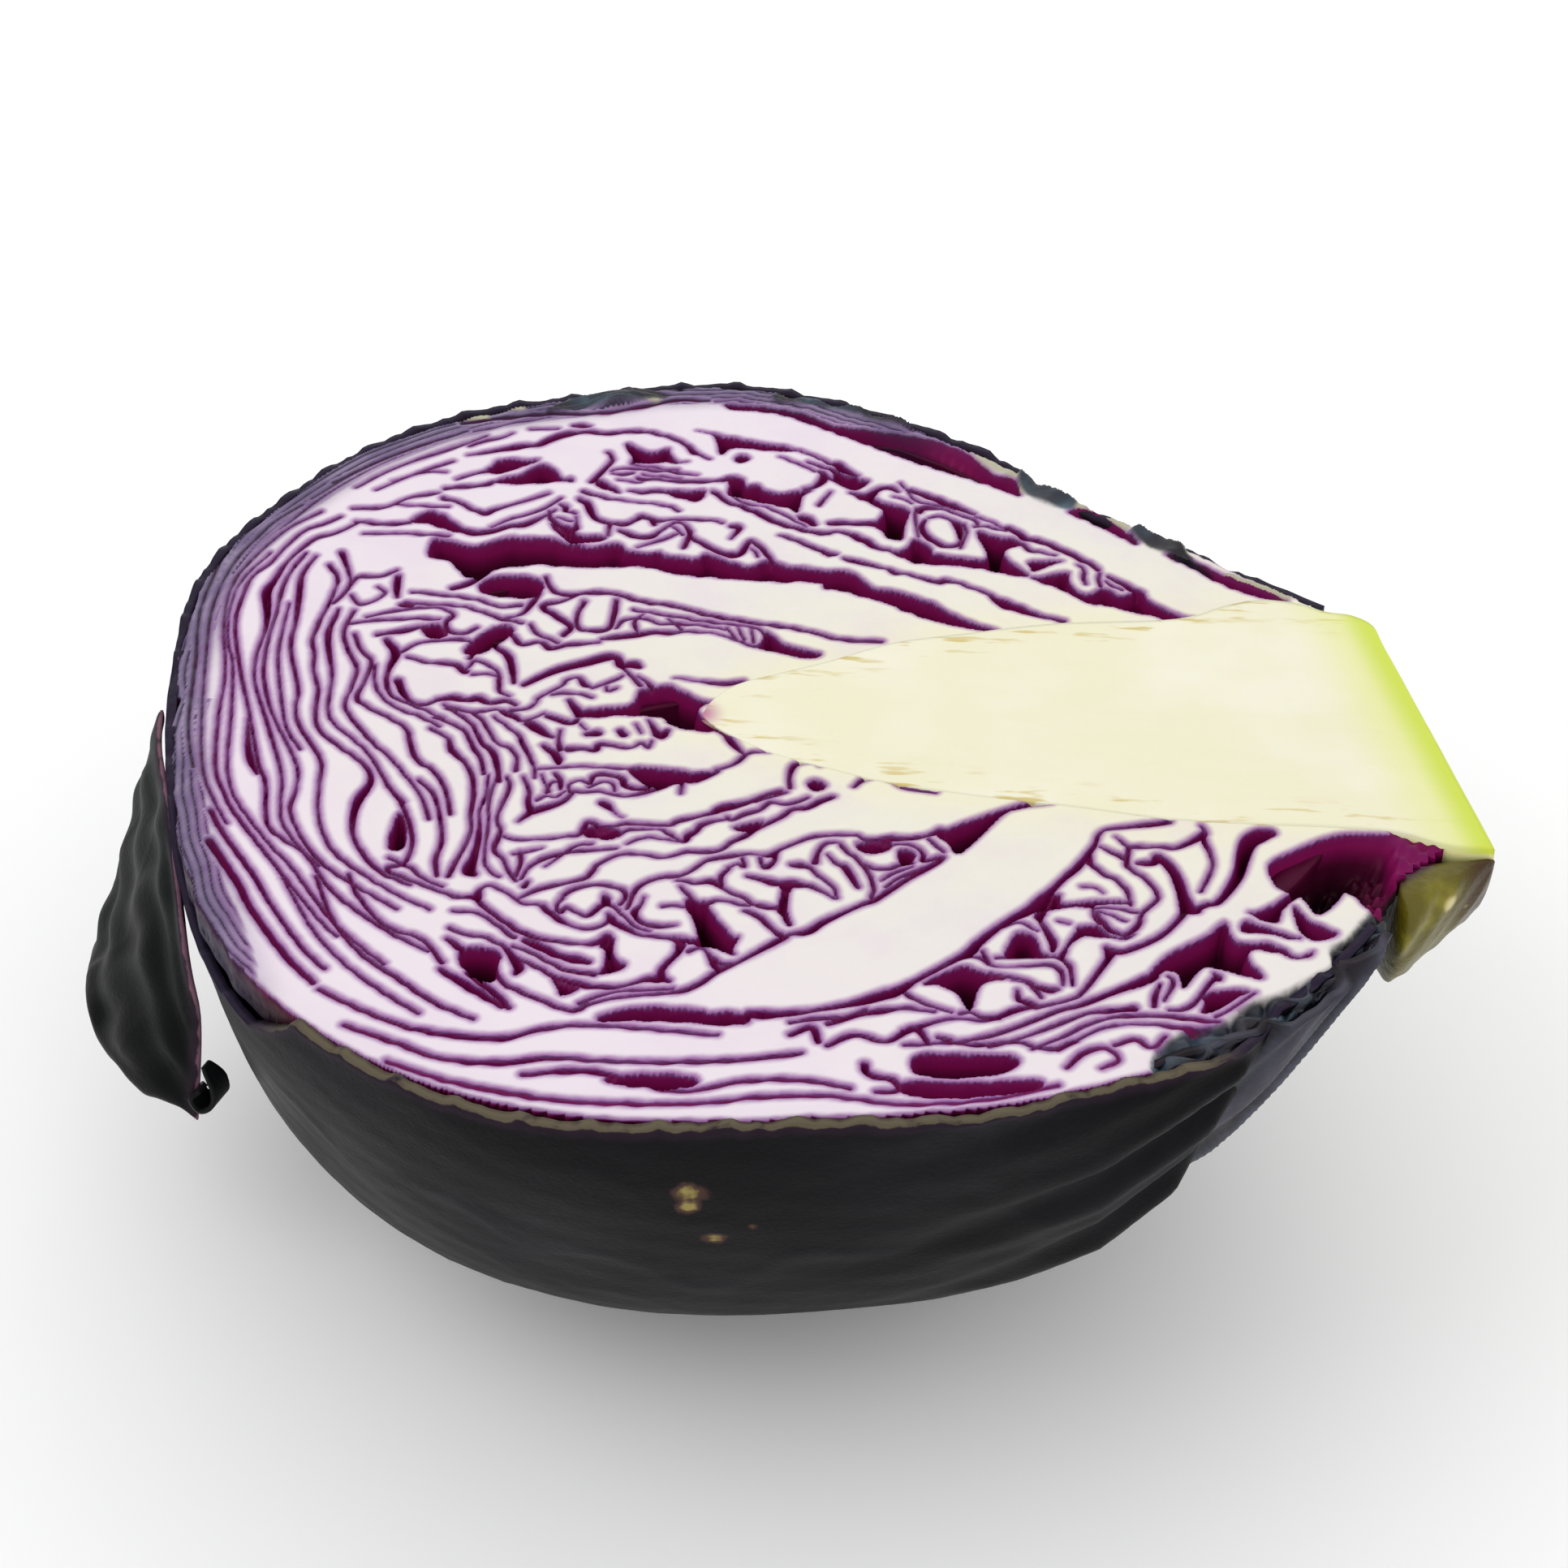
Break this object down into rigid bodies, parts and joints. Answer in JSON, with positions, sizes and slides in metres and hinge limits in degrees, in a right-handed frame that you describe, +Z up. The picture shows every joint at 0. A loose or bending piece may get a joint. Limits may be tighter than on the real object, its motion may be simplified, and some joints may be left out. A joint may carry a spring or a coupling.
{
  "type": "halved red cabbage",
  "caption": "Half of a red cabbage head, cut lengthwise through the stalk and lying cut face up, its nested and crumpled leaves showing, with one loose outer leaf.",
  "frame": {"origin": "middle of the flat spot on the rounded back that the half rests on", "axes": "+X along the stalk towards the cut stem end, +Z up out of the cut face, +Y towards the far side"},
  "size_m": [0.1868, 0.1593, 0.0775],
  "materials": {
    "core": "moist cut stalk, cream, lime green at the stem end",
    "flesh": "cut leaf rib, white to pale lilac, moist",
    "layer": "thin purple leaf, satin",
    "wrapper": "nearly black wrapper leaf with a bluish wax bloom",
    "stub": "dry brown and olive leaf base"
  },
  "bodies": {
    "root": {"stalk": "core", "leaf_base_stub": "stub", "wrapper_leaf_near": "wrapper", "wrapper_leaf_stem": "wrapper", "loose_leaf": "wrapper", "upper_leaf_1": "flesh", "upper_leaf_2": "flesh", "upper_leaf_3": "flesh", "upper_leaf_4": "flesh", "upper_leaf_5": "flesh", "upper_leaf_6": "flesh", "lower_leaf_1": "flesh", "lower_leaf_2": "flesh", "lower_leaf_3": "flesh", "lower_leaf_4": "flesh", "lower_leaf_5": "flesh", "lower_leaf_6": "flesh", "outer_leaf": "layer", "wrapper_leaf_far": "layer", "heart_leaf": "layer", "folded_leaf_far": "layer", "folded_leaf_near": "layer", "folded_leaf_stem": "layer", "folded_leaf_rim": "layer", "folded_leaf_heart": "layer", "folded_leaf_middle": "layer"}
  },
  "joints": []
}
